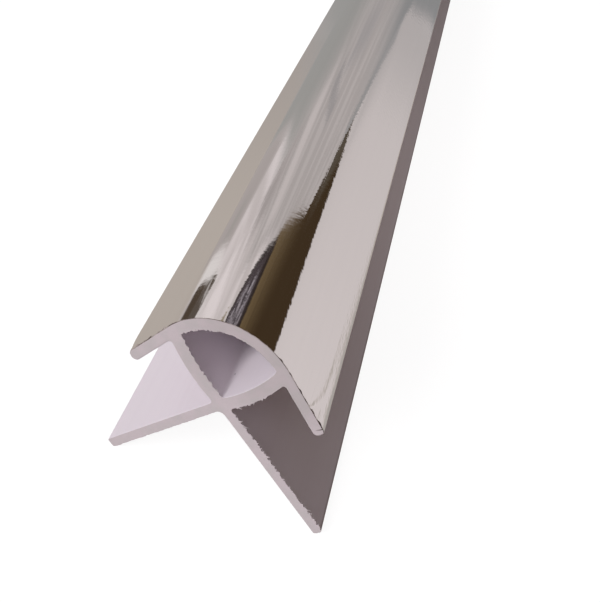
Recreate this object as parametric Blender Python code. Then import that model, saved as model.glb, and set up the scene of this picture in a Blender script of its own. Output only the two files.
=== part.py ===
"""External corner trim for ceiling cladding panels: one length of extruded white PVC.

The trim lies on the tips of its two legs, along Y, with the origin under its middle. Units
are metres and +Z is up. Its section is drawn in a plane of its own, x across and y up from
the inner corner where the legs meet. That plane is then extruded and sawn to length.
"""

import bmesh
import bpy
from math import ceil, cos, pi, radians, sin, tan
from mathutils import Matrix, Vector
from mathutils.geometry import intersect_line_line_2d, intersect_line_sphere_2d

# Length of stock, and the saw's swing off square at the near end
LENGTH = 2.6
SAW_SKEW = radians(10.6)

# Panel that slides into each slot, and its play at the slot's mouth
PANEL_THICKNESS = 0.008
PANEL_CLEARANCE = 0.0003

# Legs, which lie against the two sides of the building's corner
LEG_LENGTH = 0.020
LEG_WALL = 0.0013
LEG_SLOPE = radians(45)
LEG_TIP_RADIUS = 0.00025
BACK_FILLET = 0.0009

# Front wall: a round corner that runs on into a flat flange on each side
CORNER_RADIUS = 0.0095
FRONT_WALL = 0.0015
FLANGE_LENGTH = 0.0086
FLANGE_LEAN = radians(6.5)
NOSE_RADIUS = 0.0005

# Bowed webs from the crossing of the legs to the front wall
WEB_WALL = 0.00165
WEB_BOW = 0.00055
WEB_FOOT = 0.0004
ROOT_FILLET = 0.0004
CHAMBER_FILLET = 0.00035

# Facets of the round stretches
ARC_STEP = radians(3)
FILLET_STEP = radians(15)

# What the blank has over for the saw, and how far the cutter stands clear of the section
SAW_WASTE = 0.004
CUTTER_ROOM = 0.01

# Depth in which a face counts as the front one, edges that shade sharp, and the cap weld
FILM_DEPTH = 0.00005
SHARP_ANGLE = radians(30)
WELD = 0.000001

PVC_COLOUR = (0.78, 0.74, 0.77, 1.0)
FILM_COLOUR = (0.86, 0.84, 0.83, 1.0)


def slope_pair(angle):
    """Unit vectors down a wall that slopes at this angle, and square to it on its outer side."""
    return Vector((cos(angle), -sin(angle))), Vector((sin(angle), cos(angle)))


LEG_RUN, LEG_OUT = slope_pair(LEG_SLOPE)
FLANGE_RUN, FLANGE_OUT = slope_pair(LEG_SLOPE + FLANGE_LEAN)
INNER_RADIUS = CORNER_RADIUS - FRONT_WALL


def corner_centre():
    """Centre of the front arc, at the height that leaves the panel its slot at the mouth."""
    tip = FLANGE_OUT * INNER_RADIUS + FLANGE_RUN * FLANGE_LENGTH
    reach = LEG_WALL + PANEL_THICKNESS + PANEL_CLEARANCE
    return Vector((0.0, (reach - LEG_OUT.dot(tip)) / LEG_OUT.y))


CENTRE = corner_centre()


def turned(vector, angle):
    return Matrix.Rotation(angle, 2) @ vector


def arc(centre, spoke, sweep, step):
    """Points from the end of a spoke round its centre, both ends included."""
    count = max(2, ceil(abs(sweep) / step))
    return [centre + turned(spoke, sweep * i / count) for i in range(count + 1)]


def joined(first, second):
    """Two chains of points cut where they cross: the first up to there, the second from there."""
    for i in range(len(first) - 1):
        for j in range(len(second) - 1):
            point = intersect_line_line_2d(first[i], first[i + 1], second[j], second[j + 1])
            if point:
                return first[: i + 1] + [point], [point] + second[j + 1 :]
    raise ValueError("these two walls of the section never meet")


def cut_back(chain, reach):
    """The chain without its first stretch, out to this distance from its first point."""
    start = chain[0]
    for i in range(1, len(chain)):
        if (chain[i] - start).length > reach:
            hits = intersect_line_sphere_2d(chain[i - 1], chain[i], start, reach)
            point = next(hit for hit in hits if hit)
            return [point] + chain[i:]
    raise ValueError("a fillet is longer than the wall that it starts from")


def filleted(first, second, radius):
    """Two chains that share a corner, run together through a fillet of this radius."""
    corner = second[0]
    back = (first[-2] - corner).normalized()
    onward = (second[1] - corner).normalized()
    half = back.angle(onward) / 2
    first = cut_back(first[::-1], radius / tan(half))[::-1]
    second = cut_back(second, radius / tan(half))
    centre = corner + (back + onward).normalized() * (radius / sin(half))
    spoke = first[-1] - centre
    sweep = -spoke.angle_signed(second[0] - centre)
    return first[:-1] + arc(centre, spoke, sweep, FILLET_STEP)[:-1] + second


def mirrored(chain):
    return [Vector((-point.x, point.y)) for point in reversed(chain)]


def closed_outline(chains, radii, middle_radius):
    """The closed outline whose right half is these chains, from the top round to the middle."""
    chains = chains + [mirrored(chain) for chain in reversed(chains)]
    radii = radii + [middle_radius] + radii[::-1]
    outline = chains[0]
    for chain, radius in zip(chains[1:], radii):
        outline = filleted(outline, chain, radius)
    return outline[:-1]


def web_chain(offset):
    """A side of the right web, this far outside its middle line, run on past both its ends."""
    low = Vector((0.0, LEG_WALL / 2 / LEG_OUT.y))
    foot = CENTRE + FLANGE_OUT * INNER_RADIUS + FLANGE_RUN * WEB_FOOT
    chord = foot - low
    outward = Vector((chord.y, -chord.x)).normalized()
    radius = (chord.length_squared / 4 + WEB_BOW**2) / (2 * WEB_BOW)
    centre = (low + foot) / 2 - outward * (radius - WEB_BOW)
    spoke = (foot - centre) * ((radius + offset) / radius)
    sweep = -spoke.angle_signed(low - centre)
    run_on = 2 * WEB_WALL / radius
    return arc(centre, turned(spoke, run_on), sweep - 2 * run_on, ARC_STEP)


def front_chain():
    """The front face: over the round corner and down the flange to its tip."""
    top = Vector((0.0, CORNER_RADIUS))
    curve = arc(CENTRE, top, -(LEG_SLOPE + FLANGE_LEAN), ARC_STEP)
    return curve + [curve[-1] + FLANGE_RUN * FLANGE_LENGTH]


def front_wall_back():
    """The back of the front wall, from the flange's tip up to the top of the corner."""
    top = Vector((0.0, INNER_RADIUS))
    curve = arc(CENTRE, top, -(LEG_SLOPE + FLANGE_LEAN), ARC_STEP)
    return [curve[-1] + FLANGE_RUN * FLANGE_LENGTH] + curve[::-1]


def outer_outline():
    front = front_chain()
    back = front_wall_back()
    nose = [front[-1], back[0]]
    leg_tip = LEG_RUN * LEG_LENGTH
    leg_front = [Vector((0.0, LEG_WALL / LEG_OUT.y)), leg_tip + LEG_OUT * LEG_WALL]
    back, web = joined(back, web_chain(WEB_WALL / 2))
    web, leg_front = joined(web, leg_front)
    leg_end = [leg_front[-1], leg_tip]
    leg_back = [leg_tip, Vector((0.0, 0.0))]
    chains = [front, nose, back, web, leg_front, leg_end, leg_back]
    radii = [NOSE_RADIUS, NOSE_RADIUS, ROOT_FILLET, ROOT_FILLET, LEG_TIP_RADIUS, LEG_TIP_RADIUS]
    return closed_outline(chains, radii, BACK_FILLET)


def chamber_outline():
    vault, web = joined(front_wall_back()[::-1], web_chain(-WEB_WALL / 2))
    middle = [Vector((0.0, CENTRE.y)), Vector((0.0, 0.0))]
    web, _ = joined(web, middle)
    return closed_outline([vault, web], [CHAMBER_FILLET], CHAMBER_FILLET)


def on_front(x, y):
    """True for a point of the section that lies on the front face, where the film is."""
    spoke = Vector((abs(x), y)) - CENTRE
    over_flange = spoke.dot(FLANGE_RUN) > 0
    reach = spoke.dot(FLANGE_OUT) if over_flange else spoke.length
    return reach > CORNER_RADIUS - FILM_DEPTH


def new_material(name, colour, roughness, metallic):
    material = bpy.data.materials.new(name)
    material.use_nodes = True
    shader = material.node_tree.nodes["Principled BSDF"]
    shader.inputs["Base Color"].default_value = colour
    shader.inputs["Roughness"].default_value = roughness
    shader.inputs["Metallic"].default_value = metallic
    return material


def new_collection(name):
    collection = bpy.data.collections.new(name)
    bpy.context.scene.collection.children.link(collection)
    return collection


def extruded_curve(name, outlines, length):
    """A flat 2D curve with these closed outlines, thickened to this length along its own z."""
    curve = bpy.data.curves.new(name, "CURVE")
    curve.dimensions = "2D"
    curve.fill_mode = "BOTH"
    curve.extrude = length / 2
    for outline in outlines:
        spline = curve.splines.new("POLY")
        spline.points.add(len(outline) - 1)
        spline.use_cyclic_u = True
        for control, point in zip(spline.points, outline):
            control.co = (point.x, point.y, 0.0, 1.0)
    return bpy.data.objects.new(name, curve)


def meshed(drawing, name, collection):
    """The curve object as a closed mesh object in its place. The curve is removed."""
    graph = bpy.context.evaluated_depsgraph_get()
    mesh = bpy.data.meshes.new_from_object(drawing.evaluated_get(graph))
    solid = bpy.data.objects.new(name, mesh)
    solid.matrix_world = drawing.matrix_world
    collection.objects.link(solid)
    bpy.data.objects.remove(drawing)
    shape = bmesh.new()
    shape.from_mesh(mesh)
    bmesh.ops.remove_doubles(shape, verts=shape.verts, dist=WELD)
    bmesh.ops.recalc_face_normals(shape, faces=shape.faces)
    shape.to_mesh(mesh)
    shape.free()
    return solid


def laminate(solid):
    """White PVC all over, with the mirror film on the front face."""
    mesh = solid.data
    mesh.materials.clear()
    mesh.materials.append(new_material("white_pvc", PVC_COLOUR, 0.38, 0.0))
    mesh.materials.append(new_material("chrome_film", FILM_COLOUR, 0.06, 1.0))
    for face in mesh.polygons:
        along_length = abs(face.normal.z) < 0.5
        if along_length and on_front(face.center.x, face.center.y):
            face.material_index = 1


def saw_cutter(half_width, height, collection):
    """The waste that the saw takes off the near end, on a line swung round the vertical."""
    side = max(2 * half_width, height) + SAW_WASTE + 2 * CUTTER_ROOM
    middle = Vector((0.0, half_width * tan(SAW_SKEW) - LENGTH / 2, height / 2))
    outward = Vector((-sin(SAW_SKEW), -cos(SAW_SKEW), 0.0))
    bpy.ops.mesh.primitive_cube_add(size=side, location=middle + outward * (side / 2))
    cutter = bpy.context.object
    cutter.name = "near_end_saw_cut"
    cutter.rotation_euler.z = -SAW_SKEW
    cutter.hide_render = True
    cutter.display_type = "WIRE"
    for holder in list(cutter.users_collection):
        holder.objects.unlink(cutter)
    collection.objects.link(cutter)
    return cutter


def build():
    for old in list(bpy.data.objects):
        bpy.data.objects.remove(old)
    parts = new_collection("ceiling_corner_trim")
    cutters = new_collection("cutters")

    outline = outer_outline()
    half_width = max(point.x for point in outline)
    low = min(point.y for point in outline)
    high = max(point.y for point in outline)

    # The finished trim is LENGTH at its longest corner, so the blank has more at the near end
    drawing = extruded_curve("section", [outline, chamber_outline()], LENGTH + SAW_WASTE)
    drawing.rotation_euler.x = pi / 2
    drawing.location = (0.0, -SAW_WASTE / 2, -low)
    parts.objects.link(drawing)
    bpy.context.view_layer.update()
    trim = meshed(drawing, "corner_trim", parts)
    laminate(trim)

    cut = trim.modifiers.new("near_end", "BOOLEAN")
    cut.operation = "DIFFERENCE"
    cut.object = saw_cutter(half_width, high - low, cutters)
    trim.data.shade_smooth()
    trim.data.set_sharp_from_angle(angle=SHARP_ANGLE)


build()
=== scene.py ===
"""Looks of an external corner trim for ceiling panels: white PVC with a mirror film on its front.

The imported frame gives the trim's place, its size and its section. This script reads the section
off the frame, draws it again with fine steps, and makes the sawn near end, the film with its die
lines, the burrs and the finish of each surface. Units are metres. A place on the section is told
by its distance round the outline from the top: right-hand side positive, left-hand negative.
"""

from collections import namedtuple
from math import ceil, cos, exp, pi, radians, sin, tan

import bmesh
import bpy
import numpy as np
from mathutils import Matrix, Vector, noise
from mathutils.geometry import delaunay_2d_cdt


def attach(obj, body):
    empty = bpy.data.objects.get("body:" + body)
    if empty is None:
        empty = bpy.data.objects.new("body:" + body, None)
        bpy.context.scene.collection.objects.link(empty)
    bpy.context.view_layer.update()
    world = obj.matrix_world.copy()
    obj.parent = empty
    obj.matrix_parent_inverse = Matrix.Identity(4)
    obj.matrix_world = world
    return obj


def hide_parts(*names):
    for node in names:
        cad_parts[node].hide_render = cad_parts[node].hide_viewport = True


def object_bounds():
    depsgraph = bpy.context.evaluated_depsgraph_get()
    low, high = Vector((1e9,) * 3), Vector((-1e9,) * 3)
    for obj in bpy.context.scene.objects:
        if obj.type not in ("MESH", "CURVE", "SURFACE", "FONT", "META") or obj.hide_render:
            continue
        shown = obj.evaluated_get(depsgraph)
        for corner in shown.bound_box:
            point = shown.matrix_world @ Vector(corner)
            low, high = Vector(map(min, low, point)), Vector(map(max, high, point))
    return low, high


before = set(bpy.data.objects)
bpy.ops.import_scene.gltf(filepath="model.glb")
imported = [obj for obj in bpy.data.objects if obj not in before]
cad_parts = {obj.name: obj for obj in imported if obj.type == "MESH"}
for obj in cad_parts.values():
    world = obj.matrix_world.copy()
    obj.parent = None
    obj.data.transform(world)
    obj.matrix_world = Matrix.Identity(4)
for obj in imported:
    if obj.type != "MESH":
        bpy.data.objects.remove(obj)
cad_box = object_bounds()

MM = 0.001
MM_PER_METRE = 1000
NODE = "corner_trim"

# Frame: the sawn end is the low one along Y
low_corner, high_corner = cad_box
NEAR = low_corner.y
FAR = high_corner.y
HALF_WIDTH = high_corner.x

# Saw cut at the near end, as in the solid
SAW_SKEW = radians(10.6)

# Camera, from the near end's outermost corner; the heading is off +Y and the dip off level
CAMERA_BEFORE_END = 71.892 * MM
CAMERA_ACROSS = 14.5365 * MM
CAMERA_HEIGHT = 89.031 * MM
CAMERA_HEADING = radians(5.82)
CAMERA_DIP = radians(36.92)
CAMERA_ROLL = radians(10.41)
CAMERA_LENS = 53.26
CAMERA_SENSOR = 36.0
CAMERA_NEAREST = 5 * MM

# Section: how finely it is drawn, which of the frame's edges are straight walls, and how close
# two of the frame's corners are when they are the same one
OUTLINE_STEP = 0.09 * MM
STRAIGHT_FROM = 1.5 * MM
KEPT_EVERY = 8
KEPT_TURN = radians(0.35)
SECTION_DIGITS = 7
SAME_PLACE = 1e-6

# Fixed third coordinate and seeds of the noise along an edge
NOISE_PLANE = 0.37
OUTER_SEED = 3
CHAMBER_SEED = 21
SETBACK_SEED = 31
CHIP_SEED = 47

# Film: thickness, how far round the flanges' noses it goes, and its seat in the body
FILM_THICKNESS = 0.09 * MM
FILM_REACH = 17.65 * MM
FILM_BEDDING = 0.003 * MM
FILM_FADE = 0.12 * MM
FILM_EVERY = 2

# Film: depth of its few die lines, of its grain and of the ripple across it
FILM_LINE_DEPTH = 0.0024 * MM
FILM_GRAIN_DEPTH = 0.0068 * MM
FILM_RIPPLE_DEPTH = 0.0022 * MM

Ridge = namedtuple("Ridge", "across along plane height")

# Film: its slow swells, with their sizes, their place in the noise and their height
FILM_RIDGES = (
    Ridge(1.3 * MM, 50 * MM, 6.0, 0.0026 * MM),
    Ridge(4.5 * MM, 30 * MM, 8.0, 0.004 * MM),
)

# Places along the length: depths behind the sawn end, then behind the film's ragged end
BODY_DEPTHS = [0.0, 0.04, 0.09, 0.16, 0.25, 0.4, 0.65, 1.0, 1.5, 2.3, 3.5]
PLAIN_FROM = 6 * MM
FILM_DEPTHS = [0.0, 0.08, 0.2, 0.4, 0.7, 1.0, 1.5, 2.0, 2.6, 3.3, 4.0, 5.0, 6.0, 7.2, 8.5, 10.0]
FILM_CLOSE_STEP = 2.5 * MM
FILM_CLOSE_LENGTH = 150 * MM
FILM_STEP_GROWTH = 1.2
FILM_LONGEST_STEP = 55 * MM

# Ends of the body: the grid of points inside them, its rows and its clearance in steps
NEAR_CAP_STEP = 0.16 * MM
FAR_CAP_STEP = 0.5 * MM
FAR_CAP_INSET = 0.02 * MM
CAP_ROW = 0.87
CAP_CLEARANCE = 0.55
CAP_TOLERANCE = 1e-7

# Marks of the saw on both ends: arcs of the blade and fine grain, each a plane of the noise
SAW_ARC_STEP = 0.5 * MM
SAW_ARC_DRIFT = 9 * MM
SAW_ARC_HEIGHT = 0.012 * MM
SAW_ARC_PLANE = 4.0
SAW_GRAIN_SIZE = 0.22 * MM
SAW_GRAIN_HEIGHT = 0.008 * MM
SAW_GRAIN_PLANE = 9.0

# Order of the body's materials, and the angle from which an edge is shaded sharp
PVC, SAWN, GLUE = 0, 1, 2
SHARP_EDGE = radians(35)

Stretch = namedtuple("Stretch", "start end burr rounding")

# What the saw left on each edge of the near end, in mm round the outer outline and the chamber
OUTER_EDGE = (
    Stretch(-74.0, -55.2, 0.08, 0.00),
    Stretch(-53.6, -34.6, 0.00, 0.03),
    Stretch(-34.2, -25.7, 0.04, 0.02),
    Stretch(-25.0, -17.7, 0.00, 0.10),
    Stretch(-17.2, -7.5, 0.05, 0.00),
    Stretch(19.0, 25.0, 0.04, 0.00),
    Stretch(25.7, 28.5, 0.08, 0.00),
    Stretch(28.5, 33.5, 0.22, 0.00),
    Stretch(35.0, 38.8, 0.25, 0.00),
    Stretch(38.8, 42.4, 0.36, 0.00),
    Stretch(42.4, 49.6, 0.26, 0.00),
    Stretch(49.6, 53.6, 0.34, 0.00),
)
CHAMBER_EDGE = (
    Stretch(-15.6, -7.4, 0.27, 0.00),
    Stretch(-6.4, -1.0, 0.27, 0.00),
    Stretch(-1.0, 6.0, 0.10, 0.00),
    Stretch(7.2, 15.5, 0.00, 0.04),
)
STRETCH_BLEND = 0.3
BURR_LENGTH = 0.2 * MM

# Torn edges: length, share and seed of the slow swell, the pointed teeth and the fine spikes
SWELL_LENGTH = 1.7 * MM
SWELL_SHARE = 0.6
TOOTH_LENGTH = 0.52 * MM
TOOTH_SLOPE = 3.2
TOOTH_SHARE = 0.8
TOOTH_SEED = 7
SPIKE_LENGTH = 0.17 * MM
SPIKE_SHARE = 0.5
SPIKE_SEED = 13
TORN_BASE = 0.12

# Places on a flange's wall, round the front and round its back
MID_FLANGE = 12 * MM
MID_FLANGE_BACK = 22 * MM

# Left flange at the near end: its worn, round tip
WORN_SHORTER = 0.22 * MM
WORN_LENGTH = 1.6 * MM

# Right flange at the near end: the crack across its tip, and the film that stands off it
CRACK_AT = 16.5 * MM
CRACK_DEPTH = 1.05 * MM
CRACK_OPEN = 0.2 * MM
CRACK_LENGTH = 0.4 * MM
LIFT_FROM = 15.2 * MM
LIFT_TO = 16.6 * MM
LIFT_HEIGHT = 0.045 * MM
LIFT_LENGTH = 5 * MM

Chip = namedtuple("Chip", "at half_width depth")

# Places round the front, in mm from the top, where the film is torn back from the near end
FILM_CHIPS = (
    Chip(-16.4, 0.35, 0.20),
    Chip(-15.0, 0.30, 0.36),
    Chip(-13.5, 0.25, 0.20),
    Chip(-12.4, 0.35, 0.34),
    Chip(-10.7, 0.25, 0.24),
    Chip(-9.6, 0.40, 0.38),
    Chip(-8.2, 0.30, 0.14),
    Chip(6.8, 0.40, 0.16),
    Chip(8.9, 0.20, 0.06),
    Chip(11.1, 0.40, 0.16),
    Chip(12.2, 0.15, 0.06),
    Chip(14.0, 0.55, 0.18),
    Chip(15.7, 0.50, 0.26),
)
TEAR_LENGTH = 3 * MM

# How far the film's end lies behind the cut, in mm: on the round front, how much more on both
# flanges and on the left one, and the shares of it that are even and torn
SETBACK_FRONT = 0.015
SETBACK_FLANGES = 0.05
SETBACK_LEFT = 0.065
SETBACK_EVEN = 0.6
CHIP_EVEN = 0.7
CHIP_TORN = 0.6
FRONT_TO_FLANGE = (6.0, 9.0)

Whisker = namedtuple("Whisker", "at length lean")

# Curls of plastic on the edge of the cut: place round the outline and length in mm, and lean
OUTER_WHISKERS = (
    Whisker(30.6, 0.40, 0.5),
    Whisker(33.1, 0.50, -0.6),
    Whisker(36.1, 0.62, 0.10),
    Whisker(36.8, 0.78, 0.55),
    Whisker(40.4, 0.50, -0.3),
    Whisker(41.6, 0.62, 0.4),
    Whisker(45.2, 0.45, 0.3),
    Whisker(50.1, 0.75, 0.5),
    Whisker(50.8, 0.60, 0.2),
    Whisker(52.0, 0.50, -0.4),
)
CHAMBER_WHISKERS = (
    Whisker(-13.8, 0.34, 0.6),
    Whisker(-11.2, 0.44, -0.7),
    Whisker(-8.4, 0.36, 0.4),
    Whisker(-4.4, 0.30, 0.5),
)
WHISKER_ROOT = 0.04 * MM
WHISKER_RADIUS = 0.07 * MM
WHISKER_FLATNESS = 1.6
WHISKER_TAPER = 0.8
WHISKER_FORWARD = 0.25
WHISKER_CURL = 0.6
WHISKER_CURL_BACK = 0.4
WHISKER_STEPS = 6
WHISKER_SIDES = 6

# Crease in the film on the right flange, which starts near the tip and runs back beside the nose
CREASE_START = 13.4 * MM
CREASE_DRIFT = 2.2 * MM
CREASE_DRIFT_LENGTH = 2.8 * MM
CREASE_WIDTH = (0.28 * MM, 0.70 * MM)
CREASE_DEPTH = 0.035 * MM
CREASE_LENGTH = 8 * MM

# Roll-off of the right flange's front towards its nose
ROLL_FROM = 14.3 * MM
ROLL_TO = 16.7 * MM
ROLL_SLOPE = radians(2.6)

# Speck of dirt in the chamber
SPECK = Vector((0.315 * MM, NEAR + 7.12 * MM, 16.24 * MM))
SPECK_RADIUS = 0.11 * MM

# Painted shade along the right leg's rounded edge: a darker border in its colour, where the light
# leaves the edge in shade
PAINTED_SHADE_WIDTH = 0.35 * MM

# Finish of the PVC, and the colour of the painted shade along the right leg's edge
PVC_WHITE = (0.80, 0.735, 0.785)
PVC_PALE = (0.83, 0.765, 0.81)
PVC_LINE = (0.77, 0.70, 0.745)
PVC_LINE_DEPTH = 0.0012 * MM
DIRT = (0.02, 0.015, 0.02)
PAINTED_SHADE_COLOUR = (0.40, 0.34, 0.35)

# Finish of the sawn face: grains and clouds to a metre, and where it is darker, towards its upper
# right
SAWN_GRAINS = 4200.0
SAWN_CLOUDS = 430.0
SAWN_GRAIN_DEPTH = 0.012 * MM
SAWN_PINK = (0.668, 0.586, 0.606)
SAWN_GREY = (0.622, 0.565, 0.572)
DARKER_PINK = (0.592, 0.519, 0.532)
DARKER_GREY = (0.552, 0.502, 0.500)
SAWN_PIT = (0.56, 0.49, 0.51)
DARKER_ACROSS = (-8 * MM, 0.0)
DARKER_UP = (15 * MM, 20 * MM)

# Finish of the film, with where across it the grain grows strong, and of the glue under it
FILM_DULL = (0.845, 0.825, 0.815)
FILM_BRIGHT = (0.875, 0.855, 0.845)
FILM_GRAIN_FROM = 1.2 * MM
FILM_GRAIN_FULL = 4 * MM
GLUE_PATCHES = 900.0
GLUE_PALE = (0.45, 0.39, 0.37)
GLUE_DARK = (0.16, 0.125, 0.112)

# Room that the film mirrors
ROOM_RANGE = 20.0
DOME_RANGE = 28.0
DOME_SUBDIVISIONS = 5
CARD_STEPS = 42
STREAK_ACROSS = radians(4.5)
STREAK_UP = radians(22)
FLOOR_TO_WALL = (radians(-9.5), radians(-5.5))
WALL_PALE = (0.705, 0.646, 0.648)
WALL_DIM = (0.562, 0.512, 0.507)
FLOOR_BEIGE = (0.475, 0.425, 0.385)
POST_BROWN = (0.078, 0.057, 0.041)
HEADER_OLIVE = (0.168, 0.117, 0.061)
HEADER_BROWN = (0.050, 0.031, 0.0158)
HEADER_BORDER = [
    (-4, 33.4), (-1, 32.9), (2, 32.4), (5, 31.9), (8, 31.0), (11, 30.0), (14, 28.6), (15.7, 25.4),
    (16.8, 22.2), (17.5, 18.4), (22, 18.0), (28, 19.2), (38, 19.7), (48, 20.5), (60, 21.3),
]

# Floor and backdrop
FLOOR_RADIUS = 40.0
FLOOR_SIDES = 96
BACKDROP_SUBDIVISIONS = 4
FLOOR_GREY = (0.22, 0.22, 0.22, 1.0)
FLOOR_GLOW = 0.92
PURE_WHITE = (1.0, 1.0, 1.0, 1.0)

# Two soft suns: the way their light runs, round from +Y and down
KEY_TURN = radians(-39)
KEY_HEIGHT = radians(28)
KEY_ENERGY = 1.90
BACK_TURN = radians(-176)
BACK_HEIGHT = radians(3)
BACK_ENERGY = 2.4
SUN_SOFTNESS = radians(26)

# Fill light over the near end's right side, aimed at the trim
FILL_ACROSS = 76 * MM
FILL_BEHIND_END = 96 * MM
FILL_UP = 58 * MM
FILL_WIDTH = 40 * MM
FILL_LENGTH = 100 * MM
FILL_POWER = 0.0048
FILL_COLOUR = (1.0, 0.93, 0.88)

# Sky: its bright side, how it fades from there, and its two colours
SKY_SIDE = (-0.84, -0.45, 0.26)
SKY_FADE = (-0.38, 0.8)
SKY_DIM = (0.058, 0.031, 0.018)
SKY_BRIGHT = (0.462, 0.443, 0.474)


def slope_noise(places, wavelength, seed):
    """Smooth noise from about -1 to 1 at these places along a line."""
    return np.array([noise.noise((place / wavelength, seed, NOISE_PLANE)) for place in places])


def unit(vectors):
    return vectors / np.linalg.norm(vectors, axis=-1, keepdims=True)


def far_end_loops(mesh):
    """The section's closed outlines, read off the square far end: the outer one comes first."""
    far = max(vertex.co.y for vertex in mesh.vertices)
    edges = set()
    for polygon in mesh.polygons:
        corners = [mesh.vertices[i].co for i in polygon.vertices]
        if all(abs(corner.y - far) < SAME_PLACE for corner in corners):
            spots = [(round(c.x, SECTION_DIGITS), round(c.z, SECTION_DIGITS)) for c in corners]
            edges.update(zip(spots, spots[1:] + spots[:1]))
    onward = {start: end for start, end in edges if (end, start) not in edges}
    loops = []
    while onward:
        spot = min(onward)
        loop = []
        while spot in onward:
            loop.append(spot)
            spot = onward.pop(spot)
        loops.append(np.array(loop))
    return sorted(loops, key=len, reverse=True)


def from_the_top(loop):
    """The loop started at its highest point and run down its right side."""
    area = np.sum(loop[:, 0] * np.roll(loop[:, 1], -1) - loop[:, 1] * np.roll(loop[:, 0], -1))
    if area > 0:
        loop = loop[::-1]
    return np.roll(loop, -int(np.argmax(loop[:, 1])), axis=0)


def refined(loop, step):
    """The same outline in short steps, round where the faceted one stands for a curve."""
    onward = np.roll(loop, -1, axis=0) - loop
    length = np.linalg.norm(onward, axis=1)
    heading = unit(onward)
    back_length = np.roll(length, 1)
    tangent = unit(np.roll(heading, 1, axis=0) * length[:, None] + heading * back_length[:, None])
    for i in np.nonzero(length > STRAIGHT_FROM)[0]:
        tangent[i] = heading[i]
        tangent[(i + 1) % len(loop)] = heading[i]
    points = []
    for i, start in enumerate(loop):
        end = loop[(i + 1) % len(loop)]
        count = ceil(length[i] / step)
        for t in np.arange(count) / count:
            bow = t * (1 - t) * length[i]
            points.append(
                start * (1 - t) ** 2 * (1 + 2 * t)
                + end * t**2 * (3 - 2 * t)
                + tangent[i] * bow * (1 - t)
                - tangent[(i + 1) % len(loop)] * bow * t
            )
    return np.array(points)


class Outline:
    """A closed outline of the section: points, outward normals and distances from the top."""

    def __init__(self, loop, hollow):
        self.points = refined(from_the_top(loop), OUTLINE_STEP)
        onward = np.roll(self.points, -1, axis=0) - self.points
        length = np.linalg.norm(onward, axis=1)
        along = unit(onward / length[:, None] + np.roll(onward / length[:, None], 1, axis=0))
        outward = np.stack([-along[:, 1], along[:, 0]], axis=1)
        self.normals = -outward if hollow else outward
        self.distance = np.concatenate([[0.0], np.cumsum(length)[:-1]])
        self.distance[self.distance > length.sum() / 2] -= length.sum()
        self.turn = np.abs(turning(along))
        self.hollow = hollow

    def kept(self):
        """Indices of the points that a plain stretch of the length needs."""
        sharp = self.turn > KEPT_TURN
        near_sharp = sharp | np.roll(sharp, 1) | np.roll(sharp, -1)
        every = np.arange(len(self.points)) % KEPT_EVERY == 0
        return np.nonzero(near_sharp | every)[0]


def turning(along):
    before = np.roll(along, 1, axis=0)
    return np.arcsin(np.clip(before[:, 0] * along[:, 1] - before[:, 1] * along[:, 0], -1, 1))


def smooth_ramp(values, low, high):
    t = np.clip((values - low) / (high - low), 0, 1)
    return t * t * (3 - 2 * t)


def edge_values(distance, stretches, field):
    """The burr height or the rounding, in metres, at each place round an outline."""
    total = np.zeros(len(distance))
    for stretch in stretches:
        start, end = stretch.start, stretch.end
        rise = smooth_ramp(distance / MM, start - STRETCH_BLEND, start + STRETCH_BLEND)
        fall = smooth_ramp(distance / MM, end - STRETCH_BLEND, end + STRETCH_BLEND)
        total += rise * (1 - fall) * getattr(stretch, field) * MM
    return total


def ragged(distance, seed):
    """Torn, one-sided noise from 0 to about 1: pointed teeth of uneven height."""
    swell = slope_noise(distance, SWELL_LENGTH, seed)
    teeth = 1 - TOOTH_SLOPE * np.abs(slope_noise(distance, TOOTH_LENGTH, seed + TOOTH_SEED))
    spikes = slope_noise(distance, SPIKE_LENGTH, seed + SPIKE_SEED)
    torn = TORN_BASE + (TOOTH_SHARE + SWELL_SHARE * swell) * np.clip(teeth, 0, None)
    return np.clip(torn + SPIKE_SHARE * spikes, 0, None)


def sawn_offsets(outline, depth, seed):
    """How far the saw moved each point of the outline outwards, this deep behind the cut."""
    stretches = CHAMBER_EDGE if outline.hollow else OUTER_EDGE
    burr = edge_values(outline.distance, stretches, "burr")
    rounding = edge_values(outline.distance, stretches, "rounding")
    lip = burr * ragged(outline.distance, seed) * exp(-depth / BURR_LENGTH)
    inset = np.clip(rounding - depth, 0, None)
    cut_back = rounding - np.sqrt(np.clip(rounding**2 - inset**2, 0, None))
    return lip - cut_back


def film_bed(outline):
    """How far the body stands back under the film, which lies flush in it."""
    if outline.hollow:
        return np.zeros(len(outline.points))
    reach = np.abs(outline.distance)
    return FILM_THICKNESS * (1 - smooth_ramp(reach, FILM_REACH - FILM_FADE, FILM_REACH))


def worn_points(outline, depth):
    """The outline's points with the left flange's tip worn round and short near the cut."""
    if outline.hollow:
        return outline.points
    wall = np.argmin(np.abs(outline.distance + MID_FLANGE))
    back = np.argmin(np.abs(outline.distance + MID_FLANGE_BACK))
    surface, out = outline.points[wall], outline.normals[wall]
    run = outline.points[wall - 1] - surface
    run = unit(run if outline.distance[wall - 1] < outline.distance[wall] else -run)
    half = (surface - outline.points[back]) @ out / 2
    on_flange = (outline.distance < -MID_FLANGE) & (outline.distance > -MID_FLANGE_BACK)
    along = (outline.points - surface) @ run
    centre_along = along[on_flange].max() - WORN_SHORTER - half
    centre = surface + run * centre_along - out * half
    from_centre = outline.points - centre
    round_points = centre + unit(from_centre) * half
    moved = on_flange & (along > centre_along)
    share = np.where(moved, exp(-((depth / WORN_LENGTH) ** 2)), 0.0)
    return outline.points + (round_points - outline.points) * share[:, None]


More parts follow.
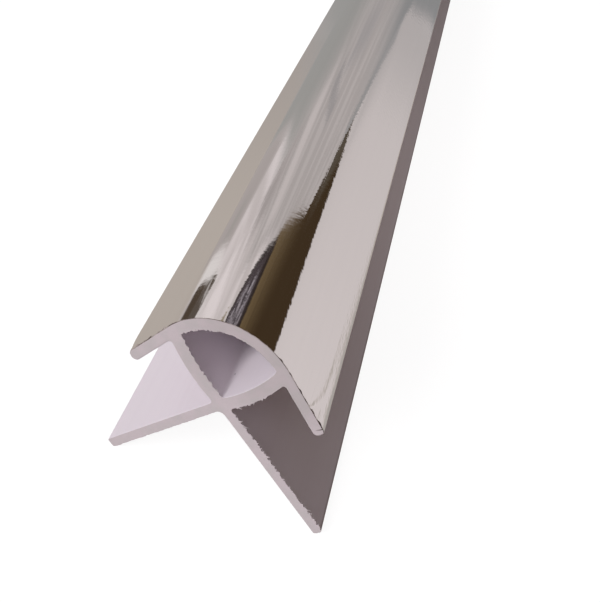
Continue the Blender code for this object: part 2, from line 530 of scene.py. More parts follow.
def crack_offsets(outline, depth):
    """The inward move of the one point that opens the crack across the right flange's tip."""
    offsets = np.zeros(len(outline.points))
    if not outline.hollow:
        mouth = np.argmin(np.abs(outline.distance - CRACK_AT))
        closing = smooth_ramp(np.array([depth]), CRACK_OPEN, CRACK_LENGTH)[0]
        offsets[mouth] = CRACK_DEPTH * (1 - closing)
    return offsets


def near_plane(across):
    """The sawn end's place along Y for points this far across."""
    return NEAR + (HALF_WIDTH - across) * tan(SAW_SKEW)


def placed(section, share):
    """Section points set in the frame, this share of the way from the sawn end to the far end."""
    start = near_plane(section[:, 0])
    return np.stack([section[:, 0], start + (FAR - start) * share, section[:, 1]], axis=1)


def share_of(depth):
    return depth / (FAR - NEAR)


def add_points(shape, points):
    return [shape.verts.new(point) for point in points]


def bridge(shape, first, second, closed=True, materials=None):
    """Quads between two rings with the same number of points."""
    count = len(first) if closed else len(first) - 1
    for i in range(count):
        j = (i + 1) % len(first)
        face = shape.faces.new((first[i], first[j], second[j], second[i]))
        if materials is not None:
            face.material_index = int(materials[i])


def bridge_to_kept(shape, fine, coarse, kept, materials):
    """Faces from a ring with every point to one that has only the kept points."""
    for i, start in enumerate(kept):
        end = kept[(i + 1) % len(kept)]
        span = range(start, end + 1) if end > start else [*range(start, len(fine)), *range(end + 1)]
        corners = [fine[k] for k in span] + [coarse[(i + 1) % len(kept)], coarse[i]]
        shape.faces.new(corners).material_index = int(materials[start])


def inside(points, loop):
    """True for each point that lies inside the closed loop."""
    x, y = points[:, 0], points[:, 1]
    crossed = np.zeros(len(points), bool)
    for (ax, ay), (bx, by) in zip(loop, np.roll(loop, -1, axis=0)):
        spans = (ay > y) != (by > y)
        if ay != by:
            crossed ^= spans & (x < (bx - ax) * (y - ay) / (by - ay) + ax)
    return crossed


def clear_of(points, loop, gap):
    """True for each point that is at least this far from the loop's points."""
    clear = np.ones(len(points), bool)
    for spot in loop:
        clear &= np.sum((points - spot) ** 2, axis=1) > gap * gap
    return clear


def grid_inside(outer, inner, step):
    """Points of a staggered grid that lie in the section's walls."""
    low, high = outer.min(axis=0), outer.max(axis=0)
    rows = np.arange(low[1], high[1], step * CAP_ROW)
    spots = [
        (x, z)
        for row, z in enumerate(rows)
        for x in np.arange(low[0] + (row % 2) * step / 2, high[0], step)
    ]
    spots = np.array(spots)
    spots = spots[inside(spots, outer) & ~inside(spots, inner)]
    return spots[clear_of(spots, np.vstack([outer, inner]), step * CAP_CLEARANCE)]


def saw_relief(across, up):
    """Height of the sawn face, out of the end: arcs of the blade and fine grain."""
    from_foot = Vector((across, up)).length
    arcs = noise.noise((from_foot / SAW_ARC_STEP, up / SAW_ARC_DRIFT, SAW_ARC_PLANE))
    grain = noise.noise((across / SAW_GRAIN_SIZE, up / SAW_GRAIN_SIZE, SAW_GRAIN_PLANE))
    return SAW_ARC_HEIGHT * arcs + SAW_GRAIN_HEIGHT * grain


def add_cap(shape, outer, inner, outer_verts, inner_verts, step, relief, material):
    """Closes an end of the body between its two rings, with a grid of points inside."""
    filling = grid_inside(outer, inner, step)
    flat = np.vstack([outer, inner, filling])
    first, second = len(outer), len(outer) + len(inner)
    loops = [list(range(first)), list(range(first, second))]
    edges = [pair for loop in loops for pair in zip(loop, loop[1:] + loop[:1])]
    spots = [Vector(spot) * MM_PER_METRE for spot in flat]
    found = delaunay_2d_cdt(spots, edges, [], 0, CAP_TOLERANCE, True)
    verts = {i: vert for i, vert in enumerate(outer_verts + inner_verts)}
    for i in range(second, len(flat)):
        verts[i] = shape.verts.new(relief(*flat[i]))
    source = [origin[0] for origin in found[3]]
    triangles = np.array([[source[i] for i in face] for face in found[2]])
    middles = flat[triangles].mean(axis=1)
    walls = inside(middles, outer) & ~inside(middles, inner)
    for triangle in triangles[walls]:
        face = shape.faces.new([verts[i] for i in triangle])
        face.material_index = material


def linked(name, data):
    """A new object with this data, in the scene."""
    made = bpy.data.objects.new(name, data)
    bpy.context.scene.collection.objects.link(made)
    return made


def finished_mesh(shape, name, materials):
    """The bmesh as an object with its faces pointing out and its round walls shaded smooth."""
    bmesh.ops.recalc_face_normals(shape, faces=shape.faces)
    mesh = bpy.data.meshes.new(name)
    shape.to_mesh(mesh)
    shape.free()
    for material in materials:
        mesh.materials.append(material)
    mesh.shade_smooth()
    mesh.set_sharp_from_angle(angle=SHARP_EDGE)
    return linked(name, mesh)


def body_ring(outline, depth, seed):
    """The outline's points this deep behind the saw cut."""
    offset = sawn_offsets(outline, depth, seed) - film_bed(outline) - crack_offsets(outline, depth)
    return worn_points(outline, depth) + outline.normals * offset[:, None]


def wall_materials(outline):
    """For each point of the outline, the material of the body's face that starts there."""
    under_film = (np.abs(outline.distance) < FILM_REACH - FILM_FADE) & (not outline.hollow)
    return np.where(under_film, GLUE, PVC)


def body_walls(shape, outline, seed):
    """The long faces of one outline. Returns its ring at the sawn end and at the far end."""
    depths = [depth * MM for depth in BODY_DEPTHS]
    sections = [body_ring(outline, depth, seed) for depth in depths]
    rings = [add_points(shape, placed(s, share_of(d))) for s, d in zip(sections, depths)]
    materials = wall_materials(outline)
    for first, second in zip(rings, rings[1:]):
        bridge(shape, first, second, materials=materials)
    kept = outline.kept()
    plain = (outline.points - outline.normals * film_bed(outline)[:, None])[kept]
    far = add_points(shape, placed(plain, 1.0))
    coarse = add_points(shape, placed(plain, share_of(PLAIN_FROM)))
    bridge_to_kept(shape, rings[-1], coarse, kept, materials)
    bridge(shape, coarse, far, materials=materials[kept])
    return sections[0], rings[0], plain, far


def make_body(outer, chamber, materials):
    shape = bmesh.new()
    outer_section, outer_near, outer_plain, outer_far = body_walls(shape, outer, OUTER_SEED)
    inner_section, inner_near, inner_plain, inner_far = body_walls(shape, chamber, CHAMBER_SEED)

    def near_relief(x, z):
        return (x, near_plane(x) - saw_relief(x, z), z)

    def far_relief(x, z):
        return (x, FAR + saw_relief(x, z) - FAR_CAP_INSET, z)

    near_loops = (outer_section, inner_section, outer_near, inner_near)
    far_loops = (outer_plain, inner_plain, outer_far, inner_far)
    add_cap(shape, *near_loops, NEAR_CAP_STEP, near_relief, SAWN)
    add_cap(shape, *far_loops, FAR_CAP_STEP, far_relief, SAWN)
    return finished_mesh(shape, "pvc_profile", materials)


def film_depths():
    depths = [depth * MM for depth in FILM_DEPTHS]
    while depths[-1] < FILM_CLOSE_LENGTH:
        depths.append(depths[-1] + FILM_CLOSE_STEP)
    step = FILM_CLOSE_STEP
    while depths[-1] + step < FAR - NEAR - step:
        depths.append(depths[-1] + step)
        step = min(step * FILM_STEP_GROWTH, FILM_LONGEST_STEP)
    return depths


def film_setback(distance):
    """How far behind the saw cut the film's torn end lies, at each place across the front."""
    on_flange = smooth_ramp(np.abs(distance) / MM, *FRONT_TO_FLANGE)
    on_left = smooth_ramp(-distance / MM, *FRONT_TO_FLANGE)
    setback = SETBACK_FRONT + SETBACK_FLANGES * on_flange + SETBACK_LEFT * on_left
    setback *= SETBACK_EVEN + ragged(distance, SETBACK_SEED)
    torn = CHIP_EVEN + CHIP_TORN * ragged(distance, CHIP_SEED)
    for chip in FILM_CHIPS:
        reach = np.abs(distance / MM - chip.at) / chip.half_width
        setback += chip.depth * np.clip(1 - reach**2, 0, None) * torn
    return setback * MM


def film_ridges(distance, depth):
    """Height of the slow swells in the film, which run along the trim, and of its crease."""
    ridges = np.zeros(len(distance))
    for ridge in FILM_RIDGES:
        along = depth / ridge.along
        found = [noise.noise((place / ridge.across, along, ridge.plane)) for place in distance]
        ridges += ridge.height * np.array(found)
    near_tip = exp(-depth / CREASE_DRIFT_LENGTH)
    line = CREASE_START + CREASE_DRIFT * (1 - near_tip)
    width = CREASE_WIDTH[1] - (CREASE_WIDTH[1] - CREASE_WIDTH[0]) * near_tip
    crease = np.exp(-(((distance - line) / width) ** 2)) * exp(-depth / CREASE_LENGTH)
    onto_nose = np.clip((distance - ROLL_FROM) / (ROLL_TO - ROLL_FROM), 0, 1)
    roll = tan(ROLL_SLOPE) * (ROLL_TO - ROLL_FROM) / 2 * onto_nose**2
    return ridges - CREASE_DEPTH * crease - roll


def film_lift(distance, depth):
    """How far the film stands off the right flange's tip."""
    return LIFT_HEIGHT * smooth_ramp(distance, LIFT_FROM, LIFT_TO) * exp(-depth / LIFT_LENGTH)


def make_film(outer, materials):
    """The film as a thin shell over the front, from nose to nose."""
    order = np.argsort(outer.distance)
    order = order[np.abs(outer.distance[order]) < FILM_REACH]
    order = np.append(order[:-1:FILM_EVERY], order[-1])
    distance, normals = outer.distance[order], outer.normals[order]
    setback = film_setback(distance)
    shape = bmesh.new()
    rings = []
    for depth in film_depths() + [FAR - NEAR]:
        lift = film_lift(distance, depth)
        points = worn_points(outer, depth)[order] + normals * lift[:, None]
        ridges = film_ridges(distance, depth)
        top = placed(points + normals * ridges[:, None], share_of(depth))
        under = placed(points - normals * (FILM_THICKNESS + FILM_BEDDING), share_of(depth))
        behind = setback * exp(-depth / TEAR_LENGTH)
        top[:, 1] += behind
        under[:, 1] += behind
        rings.append(add_points(shape, top) + add_points(shape, under[::-1]))
    for first, second in zip(rings, rings[1:]):
        bridge(shape, first, second)
    for ring in (rings[0], rings[-1]):
        half = len(ring) // 2
        for i in range(half - 1):
            face = shape.faces.new((ring[i], ring[i + 1], ring[-2 - i], ring[-1 - i]))
            face.material_index = 1
    return finished_mesh(shape, "chrome_film", materials)


def add_whisker(shape, outline, whisker):
    """A thin curl of plastic that the saw left hanging from the edge of the cut."""
    start = np.argmin(np.abs(outline.distance - whisker.at * MM))
    out = outline.normals[start]
    along = np.array([out[1], -out[0]])
    spot = outline.points[start] - out * WHISKER_ROOT
    root = Vector((spot[0], near_plane(spot[0]) + WHISKER_ROOT, spot[1]))
    edge = Vector((along[0], 0.0, along[1]))
    heading = Vector((out[0], -WHISKER_FORWARD, out[1])) + edge * whisker.lean
    bend = Vector((along[0], WHISKER_CURL_BACK, along[1])) * whisker.lean * WHISKER_CURL
    rings = []
    for step in range(WHISKER_STEPS + 1):
        t = step / WHISKER_STEPS
        middle = root + (heading.normalized() * t + bend * t * t * 0.5) * whisker.length * MM
        radius = WHISKER_RADIUS * (1 - WHISKER_TAPER * t)
        ring = []
        for side in range(WHISKER_SIDES):
            turn = 2 * pi * side / WHISKER_SIDES
            rim = edge * cos(turn) * WHISKER_FLATNESS + Vector((0.0, sin(turn), 0.0))
            ring.append(shape.verts.new(middle + rim * radius))
        rings.append(ring)
    for first, second in zip(rings, rings[1:]):
        bridge(shape, first, second)
    shape.faces.new(rings[0])
    shape.faces.new(rings[-1])


def make_whiskers(outer, chamber, materials):
    shape = bmesh.new()
    for outline, whiskers in ((outer, OUTER_WHISKERS), (chamber, CHAMBER_WHISKERS)):
        for whisker in whiskers:
            add_whisker(shape, outline, whisker)
    return finished_mesh(shape, "saw_whiskers", materials)


def new_material(name):
    """An empty node material with its output, and the node tree to fill."""
    material = bpy.data.materials.new(name)
    material.use_nodes = True
    tree = material.node_tree
    tree.nodes.clear()
    return material, tree


def add_node(tree, kind, settings=None, **inputs):
    """A shader node with its settings and input values. An input may be another node's socket."""
    made = tree.nodes.new(kind)
    for name, value in (settings or {}).items():
        setattr(made, name, value)
    for name, value in inputs.items():
        number = name[1:]
        socket = made.inputs[int(number) if number.isdigit() else name.replace("_", " ")]
        if isinstance(value, bpy.types.NodeSocket):
            tree.links.new(value, socket)
        else:
            socket.default_value = value
    return made


def finish_tree(tree, shader):
    output = add_node(tree, "ShaderNodeOutputMaterial")
    tree.links.new(shader.outputs[0], output.inputs["Surface"])


def finish_surface(tree, **inputs):
    finish_tree(tree, add_node(tree, "ShaderNodeBsdfPrincipled", **inputs))


def object_place(tree):
    return add_node(tree, "ShaderNodeTexCoord").outputs["Object"]


def axes_of(tree, vector):
    """The vector's three numbers, as sockets named X, Y and Z."""
    return add_node(tree, "ShaderNodeSeparateXYZ", Vector=vector).outputs


def multiplied(tree, first, second):
    product = add_node(tree, "ShaderNodeMath", {"operation": "MULTIPLY"}, _0=first, _1=second)
    return product.outputs[0]


def even_noise(tree, place, scale, detail):
    """Noise from 0 to 1 with about this many grains to a unit."""
    found = add_node(tree, "ShaderNodeTexNoise", Vector=place, Scale=scale, Detail=detail)
    return found.outputs["Fac"]


def sized_noise(tree, place, first, second, third, detail):
    """Noise from 0 to 1 whose grains have these sizes along the three axes."""
    scale = (1 / first, 1 / second, 1 / third)
    mapped = add_node(tree, "ShaderNodeMapping", Vector=place, Scale=scale)
    return even_noise(tree, mapped.outputs[0], 1.0, detail)


def stretched_noise(tree, across, along, detail=3.0):
    """Noise of this size across the section and this length along the trim."""
    return sized_noise(tree, object_place(tree), across, along, across, detail)


def mixed_colour(tree, factor, first, second):
    mix = add_node(tree, "ShaderNodeMix", {"data_type": "RGBA"})
    tree.links.new(factor, mix.inputs[0])
    for socket, colour in zip((mix.inputs[6], mix.inputs[7]), (first, second)):
        if isinstance(colour, bpy.types.NodeSocket):
            tree.links.new(colour, socket)
        else:
            socket.default_value = (*colour, 1.0)
    return mix.outputs[2]


def ranged(tree, value, low, high, to_low=0.0, to_high=1.0):
    """The value brought from one range to another, with a smooth step."""
    settings = {"interpolation_type": "SMOOTHSTEP"}
    found = add_node(
        tree, "ShaderNodeMapRange", settings, Value=value, _1=low, _2=high, _3=to_low, _4=to_high
    )
    return found.outputs[0]


def added_bump(tree, height, depth, under=None):
    """A bump of this depth in metres, on top of another one where there is one."""
    bump = add_node(tree, "ShaderNodeBump", Height=height, Strength=1.0, Distance=depth)
    if under is not None:
        tree.links.new(under, bump.inputs["Normal"])
    return bump.outputs[0]


def pvc_material():
    """Extruded white PVC: slight die lines along it and a cloudy, faintly lilac white."""
    material, tree = new_material("white_pvc")
    clouds = stretched_noise(tree, 12 * MM, 30 * MM)
    lines = stretched_noise(tree, 0.9 * MM, 250 * MM)
    colour = mixed_colour(tree, clouds, PVC_WHITE, PVC_PALE)
    colour = mixed_colour(tree, ranged(tree, lines, 0.4, 0.8, 0.0, 0.2), colour, PVC_LINE)
    place = object_place(tree)
    away = add_node(tree, "ShaderNodeVectorMath", {"operation": "DISTANCE"}, _0=place, _1=SPECK)
    speck = ranged(tree, away.outputs["Value"], SPECK_RADIUS * 0.6, SPECK_RADIUS, 1.0, 0.0)
    colour = mixed_colour(tree, speck, colour, DIRT)
    # Painted shade: the colour darkens towards the right leg's rounded edge
    edge_shade = ranged(tree, axes_of(tree, place)["X"], HALF_WIDTH - PAINTED_SHADE_WIDTH, HALF_WIDTH)
    finish_surface(
        tree,
        Base_Color=mixed_colour(tree, edge_shade, colour, PAINTED_SHADE_COLOUR),
        Roughness=ranged(tree, lines, 0.3, 0.7, 0.38, 0.48),
        Normal=added_bump(tree, lines, PVC_LINE_DEPTH),
    )
    return material


def sawn_material():
    """The sawn face: a matt, slightly greyer white with fine scratches and pits."""
    material, tree = new_material("sawn_pvc")
    place = object_place(tree)
    grain = even_noise(tree, place, SAWN_GRAINS, 4.0)
    clouds = even_noise(tree, place, SAWN_CLOUDS, 2.0)
    axes = axes_of(tree, place)
    # The face is darker towards its upper right
    rightward = ranged(tree, axes["X"], *DARKER_ACROSS)
    upward = ranged(tree, axes["Z"], *DARKER_UP)
    darker_part = multiplied(tree, rightward, upward)
    pink = mixed_colour(tree, darker_part, SAWN_PINK, DARKER_PINK)
    grey = mixed_colour(tree, darker_part, SAWN_GREY, DARKER_GREY)
    colour = mixed_colour(tree, ranged(tree, clouds, 0.35, 0.65), grey, pink)
    finish_surface(
        tree,
        Base_Color=mixed_colour(tree, ranged(tree, grain, 0.52, 0.75, 0.0, 0.25), colour, SAWN_PIT),
        Roughness=ranged(tree, grain, 0.3, 0.7, 0.6, 0.75),
        Normal=added_bump(tree, grain, SAWN_GRAIN_DEPTH),
    )
    return material


def film_material():
    """Mirror film: bright metal with haze along the die lines and a faint ripple across them."""
    material, tree = new_material("chrome_film")
    haze = stretched_noise(tree, 0.9 * MM, 120 * MM)
    lines = ranged(tree, stretched_noise(tree, 0.4 * MM, 200 * MM, 1.0), 0.52, 0.72)
    across = axes_of(tree, object_place(tree))["X"]
    strong = ranged(tree, across, FILM_GRAIN_FROM, FILM_GRAIN_FULL, 0.3, 0.85)
    grain = multiplied(tree, stretched_noise(tree, 0.5 * MM, 1.0 * MM, 1.0), strong)
    ripple = stretched_noise(tree, 1.8 * MM, 0.8 * MM, 1.0)
    relief = added_bump(tree, lines, FILM_LINE_DEPTH)
    relief = added_bump(tree, grain, FILM_GRAIN_DEPTH, relief)
    finish_surface(
        tree,
        Base_Color=mixed_colour(tree, haze, FILM_DULL, FILM_BRIGHT),
        Metallic=1.0,
        Roughness=ranged(tree, haze, 0.35, 0.75, 0.035, 0.065),
        Normal=added_bump(tree, ripple, FILM_RIPPLE_DEPTH, relief),
    )
    return material


def glue_material():
    """The film's glue and dirt, dark in patches, bare where the film is torn back."""
    material, tree = new_material("film_glue")
    patches = even_noise(tree, object_place(tree), GLUE_PATCHES, 3.0)
    finish_surface(
        tree,
        Base_Color=mixed_colour(tree, ranged(tree, patches, 0.42, 0.62), GLUE_PALE, GLUE_DARK),
        Roughness=ranged(tree, patches, 0.3, 0.7, 0.5, 0.8),
    )
    return material


def make_camera():
    data = bpy.data.cameras.new("camera")
    data.lens = CAMERA_LENS
    data.sensor_width = CAMERA_SENSOR
    data.clip_start = CAMERA_NEAREST
    camera = linked("camera", data)
    place = Vector((CAMERA_ACROSS, NEAR - CAMERA_BEFORE_END, CAMERA_HEIGHT))
    turn = Matrix.Rotation(CAMERA_HEADING, 4, "Z")
    tilt = Matrix.Rotation(pi / 2 - CAMERA_DIP, 4, "X")
    roll = Matrix.Rotation(CAMERA_ROLL, 4, "Z")
    camera.matrix_world = Matrix.Translation(place) @ turn @ tilt @ roll
    bpy.context.scene.camera = camera


def room_angles(tree):
    """Azimuth off +Y towards +X and elevation, as a vector, of a place seen from the sawn end."""
    place = object_place(tree)
    aim = add_node(tree, "ShaderNodeVectorMath", {"operation": "NORMALIZE"}, _0=place)
    axes = axes_of(tree, aim.outputs[0])
    azimuth = add_node(tree, "ShaderNodeMath", {"operation": "ARCTAN2"}, _0=axes["X"], _1=axes["Y"])
    elevation = add_node(tree, "ShaderNodeMath", {"operation": "ARCSINE"}, _0=axes["Z"])
    angles = add_node(tree, "ShaderNodeCombineXYZ", X=azimuth.outputs[0], Y=elevation.outputs[0])
    return angles.outputs[0], elevation.outputs[0]


def emission_material(name, left, right, specks, speck_size):
    """Light of one colour on the left that runs to another on the right, faded at its borders.
    Specks are a second colour that breaks it up, and their size is in degrees."""
    material, tree = new_material(name)
    across = add_node(tree, "ShaderNodeAttribute", {"attribute_name": "across"}).outputs["Fac"]
    cover = add_node(tree, "ShaderNodeAttribute", {"attribute_name": "cover"}).outputs["Fac"]
    colour = mixed_colour(tree, across, left, right)
    if specks:
        angles, _ = room_angles(tree)
        spots = sized_noise(tree, angles, radians(speck_size[0]), radians(speck_size[1]), 1.0, 2.0)
        colour = mixed_colour(tree, ranged(tree, spots, 0.44, 0.60), colour, specks)
    light = add_node(tree, "ShaderNodeEmission", Color=colour)
    clear = add_node(tree, "ShaderNodeBsdfTransparent")
    mix = add_node(tree, "ShaderNodeMixShader", _0=cover, _1=clear.outputs[0], _2=light.outputs[0])
    finish_tree(tree, mix)
    return material


def only_in_reflections(card):
    """A card that the film shows, and that nothing else in the scene sees or is lit by."""
    card.location = (0.0, NEAR, 0.0)
    card.visible_camera = False
    card.visible_diffuse = False
    card.visible_transmission = False
    card.visible_shadow = False


def border_at(points, share):
    """The place this share of the way along a border of evenly spaced points."""
    points = np.array(points, float)
    knots = np.linspace(0, 1, len(points))
    return np.array([np.interp(share, knots, points[:, 0]), np.interp(share, knots, points[:, 1])])


def card(name, lower, upper, left, right=None, feather=(1.0, 1.0, 1.0, 1.0), nearness=1.0,
         most=1.0, specks=None, speck_size=(4.0, 1.1), turn_over=None):
    """A reflection card, far round the sawn end. Its lower and upper borders are points
    (azimuth off +Y, elevation) in degrees from left to right, and feather is the width of its
    faded left, right, lower and upper borders."""
    width = np.linalg.norm(border_at(lower, 1) - border_at(lower, 0))
    shape = bmesh.new()
    across_layer = shape.verts.layers.float.new("across")
    cover_layer = shape.verts.layers.float.new("cover")
    grid = []
    for row in range(CARD_STEPS + 1):
        v = row / CARD_STEPS
        line = []
        for column in range(CARD_STEPS + 1):
            u = column / CARD_STEPS
            low, high = border_at(lower, u), border_at(upper, u)
            height = np.linalg.norm(high - low)
            azimuth, elevation = np.radians(low * (1 - v) + high * v)
            level_reach = cos(elevation)
            aim = (sin(azimuth) * level_reach, cos(azimuth) * level_reach, sin(elevation))
            vert = shape.verts.new(Vector(aim) * ROOM_RANGE * nearness)
            inward = np.array([u * width, (1 - u) * width, v * height, (1 - v) * height])
            cover = smooth_ramp(inward / np.array(feather), 0.0, 1.0)
            over = turn_over and smooth_ramp(np.degrees(azimuth), *turn_over)
            vert[across_layer] = u if over is None else float(over)
            vert[cover_layer] = most * float(cover.min())
            line.append(vert)
        grid.append(line)
    for first, second in zip(grid, grid[1:]):
        bridge(shape, first, second, closed=False)
    material = emission_material(name, left, right or left, specks, speck_size)
    only_in_reflections(finished_mesh(shape, name, [material]))


def level(left, right, elevation):
    """A level border from one azimuth to another."""
    return [(left, elevation), (right, elevation)]


def plain_shape(name, make, **sizes):
    """One of the ready shapes as an object with a new material, and the node tree to fill."""
    shape = bmesh.new()
    make(shape, **sizes)
    mesh = bpy.data.meshes.new(name)
    shape.to_mesh(mesh)
    shape.free()
    material, tree = new_material(name)
    mesh.materials.append(material)
    return linked(name, mesh), tree


def pale_room():
    """The dome that the film mirrors: a pale wall with soft streaks over a beige floor."""
    sizes = {"subdivisions": DOME_SUBDIVISIONS, "radius": DOME_RANGE}
    dome, tree = plain_shape("pale_room", bmesh.ops.create_icosphere, **sizes)
    angles, elevation = room_angles(tree)
    streaks = sized_noise(tree, angles, STREAK_ACROSS, STREAK_UP, 1.0, 2.5)
    wall = mixed_colour(tree, ranged(tree, streaks, 0.36, 0.66), WALL_DIM, WALL_PALE)
    colour = mixed_colour(tree, ranged(tree, elevation, *FLOOR_TO_WALL), FLOOR_BEIGE, wall)
    finish_tree(tree, add_node(tree, "ShaderNodeEmission", Color=colour))
    only_in_reflections(dome)


def reflections():
    """The pale room with a dark header over a doorway that the film mirrors."""
    pale_room()
    card(
        "far_floor_shade", level(-32, 0, -22), level(-32, 0, -5), (0.37, 0.335, 0.315),
        feather=(16, 4, 2, 1), nearness=1.24, most=0.9,
    )
    card(
        "far_wall", level(-31, 18.5, -13), [(-23.5, 31), (-9.5, 34.5), (4.5, 36), (18.5, 36)],
        (0.430, 0.396, 0.389), feather=(2.5, 0.7, 3, 2), nearness=1.22,
        specks=(0.490, 0.452, 0.445), speck_size=(2.6, 16),
    )
    card(
        "far_wall_low", level(-29.5, 18.5, -13), level(-27.5, 18.5, 23), (0.352, 0.345, 0.332),
        (0.264, 0.266, 0.270), feather=(3, 0.7, 3, 18), nearness=1.20,
    )
    card(
        "low_wall_shade", level(-37.5, -26, -13), [(-36.5, 9), (-27.2, 6.8)], (0.420, 0.380, 0.370),
        feather=(2, 2.5, 2, 6), nearness=1.18,
    )
    card(
        "low_wall_line", level(-36.8, -31.5, -7), level(-36.8, -31.5, 2.5), (0.35, 0.335, 0.315),
        feather=(2.5, 2.5, 5, 5), nearness=1.16, most=0.55,
    )
    card(
        "bright_wall", level(-38, -30, 15), level(-36, -30, 28), (0.80, 0.735, 0.74),
        feather=(2, 3, 4, 3), nearness=1.14, most=0.85,
    )
    card(
        "wall_light", level(-21, -14, 14), level(-20, -13, 32), (0.585, 0.535, 0.53),
        feather=(2.5, 2.5, 6, 4), nearness=1.13, most=0.85,
    )
    card(
        "wall_blotch", level(-29.5, -20.5, 14.5), level(-28, -20, 26.0), (0.387, 0.352, 0.346),
        feather=(2.5, 2, 3, 5), nearness=1.12, specks=(0.45, 0.41, 0.405), speck_size=(1.6, 9),
    )
    card(
        "wall_streak",
        [(-12.2, 17.0), (-9.8, 20.0), (-7.4, 22.0), (-4.0, 23.7), (-1.5, 24.3)],
        [(-14.0, 19.5), (-11.2, 22.5), (-8.7, 24.6), (-4.9, 26.3), (-2.5, 26.9)],
        (0.33, 0.312, 0.315), feather=(3, 3, 1.1, 1.1), nearness=1.10, most=0.85,
    )
    card(
        "wall_dusk", level(-10, 4, 16.5), level(-10, 4, 23), (0.345, 0.328, 0.332),
        feather=(4, 5, 3, 3), nearness=1.105, most=0.7,
    )
    card(
        "side_wall", level(18.0, 48, -10.5), level(18.0, 48, 24), (0.575, 0.53, 0.525),
        (0.715, 0.655, 0.655), feather=(0.7, 3, 3, 1), nearness=1.09,
    )
    card(
        "side_wall_corner", level(18.3, 26, -10), level(16.5, 24, 20), (0.455, 0.426, 0.424),
        feather=(0.4, 7, 2, 9), nearness=1.07, most=0.9,
    )
    card(
        "corner_line", level(17.0, 19.8, 5), level(14.9, 17.7, 21.6), (0.28, 0.28, 0.283),
        feather=(1.2, 1.0, 3, 1.2), nearness=1.05, most=0.7,
    )
    card(
        "side_floor", level(28, 85, -45), level(28, 85, -9), (0.43, 0.405, 0.385),
        feather=(5, 5, 5, 1.5), nearness=1.04,
    )
    card(
        "header", HEADER_BORDER, [(azimuth, 58) for azimuth, _ in HEADER_BORDER], HEADER_OLIVE,
        HEADER_BROWN, feather=(0.25, 3, 0.45, 3), nearness=0.98, turn_over=(-10, 20),
    )
    card(
        "header_edge", [(18.0, 18.6), (22.5, 18.2)], [(14.7, 28.4), (20, 28)],
        (0.105, 0.088, 0.068), feather=(0.4, 3, 0.6, 6), nearness=0.96, most=0.75,
    )
    card(
        "black_fitting", [(-19.3, 35.5), (-17, 34.5), (-13.2, 34.0), (-8, 33.8), (-0.8, 33.9)],
        level(-19.3, -0.8, 46), (0.030, 0.022, 0.020), feather=(0.5, 0.2, 0.4, 2), nearness=0.92,
    )
    card(
        "fitting_front", [(-18.6, 35.8), (-13.5, 34.6), (-3.6, 34.8)],
        [(-18.6, 39.6), (-13.5, 40.6), (-3.6, 40.6)], (0.085, 0.068, 0.074), (0.06, 0.047, 0.050),
        feather=(0.8, 1.6, 0.4, 0.8), nearness=0.9,
    )
    card(
        "fitting_glints", [(-18.2, 36.2), (-13, 35.7), (-4.5, 36.2)],
        [(-18.2, 39.8), (-13, 40.6), (-4.5, 40.6)], (0.045, 0.036, 0.040),
        feather=(0.8, 1.6, 0.8, 0.8), nearness=0.89,
        specks=(0.38, 0.34, 0.37), speck_size=(2.2, 0.55),
    )
    card(
        "fitting_foot", [(-28, 32.6), (-20.5, 34.2)], [(-28, 38), (-20.5, 40)],
        (0.26, 0.215, 0.14), feather=(2, 0.5, 0.6, 1), nearness=0.91, most=0.9,
    )
    card(
        "bright_strip", level(-39.5, -35.7, -8.5), level(-40, -35.2, 14), (0.74, 0.70, 0.69),
        feather=(0.5, 1.8, 3, 4), nearness=0.95,
    )
    card(
        "dark_post", level(-62, -38.8, -8.5), level(-62, -38.2, 4), POST_BROWN,
        feather=(3, 0.6, 5, 0.2), nearness=0.90,
    )
    card(
        "dark_post_top", level(-62, -38.25, 3.7), level(-62, -36.4, 11.8), POST_BROWN,
        feather=(3, 0.6, 0.1, 0.9), nearness=0.89,
    )
    card(
        "post_glow", level(-60, -38.0, 1.5), level(-60, -36.5, 11.7), (0.17, 0.15, 0.14),
        feather=(3, 0.5, 4, 1.4), nearness=0.885, most=0.28,
    )
    card(
        "post_top_specks", level(-39.6, -37.4, 6.5), level(-39.2, -36.3, 12.2), POST_BROWN,
        feather=(0.8, 0.2, 1.5, 0.5), nearness=0.88,
        specks=(0.40, 0.37, 0.36), speck_size=(1.5, 2.2),
    )
    card(
        "left_drape", level(-108, -84, -9), level(-108, -84, 48), (0.11, 0.09, 0.08),
        (0.19, 0.165, 0.15), feather=(2, 2, 1, 2),
    )
    card(
        "right_drape", level(86, 112, -9), level(86, 112, 44), (0.17, 0.145, 0.13),
        (0.10, 0.08, 0.07), feather=(2, 2, 1, 2),
    )
    card(
        "back_door", level(152, 190, -9), level(152, 190, 38), (0.09, 0.07, 0.06),
        (0.14, 0.115, 0.10),
    )
    card(
        "ceiling_beam", level(-80, 80, 64), level(-80, 80, 74), (0.22, 0.195, 0.18),
        feather=(8, 8, 1, 1),
    )


def make_floor():
    """A plain pale floor, which glows a little so that it stays pale under the soft light."""
    sizes = {"cap_ends": True, "segments": FLOOR_SIDES, "radius": FLOOR_RADIUS}
    floor, tree = plain_shape("floor", bmesh.ops.create_circle, **sizes)
    matt = add_node(tree, "ShaderNodeBsdfDiffuse", Color=FLOOR_GREY)
    glow = add_node(tree, "ShaderNodeEmission", Color=PURE_WHITE, Strength=FLOOR_GLOW)
    finish_tree(tree, add_node(tree, "ShaderNodeAddShader", _0=matt.outputs[0], _1=glow.outputs[0]))
    floor.visible_diffuse = False
    floor.visible_glossy = False


def make_backdrop():
    """The pale backdrop that the floor runs out to."""
    sizes = {"subdivisions": BACKDROP_SUBDIVISIONS, "radius": FLOOR_RADIUS}
    backdrop, tree = plain_shape("backdrop", bmesh.ops.create_icosphere, **sizes)
    finish_tree(tree, add_node(tree, "ShaderNodeEmission", Color=PURE_WHITE))
    backdrop.visible_diffuse = False
    backdrop.visible_glossy = False
    backdrop.visible_shadow = False
    backdrop.visible_transmission = False


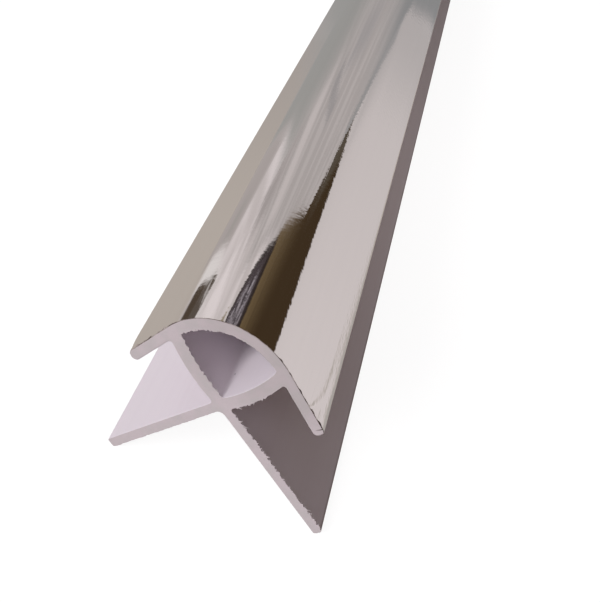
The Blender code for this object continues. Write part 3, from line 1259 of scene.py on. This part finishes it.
def soft_sun(name, turn, height, energy):
    """A soft sun that the film doesn't show."""
    data = bpy.data.lights.new(name, "SUN")
    data.energy = energy
    data.angle = SUN_SOFTNESS
    sun = linked(name, data)
    sun.matrix_world = Matrix.Rotation(turn, 4, "Z") @ Matrix.Rotation(pi / 2 - height, 4, "X")
    sun.visible_glossy = False


def fill_light():
    """A small warm light on the right of the near end. The film doesn't show it."""
    data = bpy.data.lights.new("fill", "AREA")
    data.energy = FILL_POWER
    data.shape = "RECTANGLE"
    data.size = FILL_WIDTH
    data.size_y = FILL_LENGTH
    data.color = FILL_COLOUR
    fill = linked("fill", data)
    fill.location = (FILL_ACROSS, NEAR + FILL_BEHIND_END, FILL_UP)
    fill.rotation_euler = Vector((FILL_ACROSS, 0.0, FILL_UP)).to_track_quat("Z", "Y").to_euler()
    fill.visible_glossy = False
    fill.visible_camera = False


def make_sky():
    """A soft sky that is bright on the left and dim on the right."""
    world = bpy.data.worlds.new("studio")
    bpy.context.scene.world = world
    world.use_nodes = True
    tree = world.node_tree
    tree.nodes.clear()
    aim = add_node(tree, "ShaderNodeTexCoord").outputs["Generated"]
    bright = Vector(SKY_SIDE).normalized()
    side = add_node(tree, "ShaderNodeVectorMath", {"operation": "DOT_PRODUCT"}, _0=aim, _1=bright)
    colour = mixed_colour(tree, ranged(tree, side.outputs["Value"], *SKY_FADE), SKY_DIM, SKY_BRIGHT)
    sky = add_node(tree, "ShaderNodeBackground", Color=colour)
    output = add_node(tree, "ShaderNodeOutputWorld")
    tree.links.new(sky.outputs[0], output.inputs["Surface"])


def make_light():
    """Soft daylight from the upper left in front, a low light from behind that reaches only the
    far end, a fill on the right, and the sky."""
    soft_sun("key", KEY_TURN, KEY_HEIGHT, KEY_ENERGY)
    soft_sun("back", BACK_TURN, BACK_HEIGHT, BACK_ENERGY)
    fill_light()
    make_sky()


make_camera()
outer_loop, chamber_loop = far_end_loops(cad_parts[NODE].data)
outer = Outline(outer_loop, hollow=False)
chamber = Outline(chamber_loop, hollow=True)
glue = glue_material()
sawn = sawn_material()
body = make_body(outer, chamber, [pvc_material(), sawn, glue])
whiskers = make_whiskers(outer, chamber, [sawn])
film = make_film(outer, [film_material(), glue])
for piece, slot in ((body, "white_pvc"), (whiskers, "white_pvc"), (film, "chrome_film")):
    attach(piece, "root")
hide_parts(NODE)
make_floor()
make_backdrop()
make_light()
reflections()
bpy.context.scene.view_settings.view_transform = "Standard"
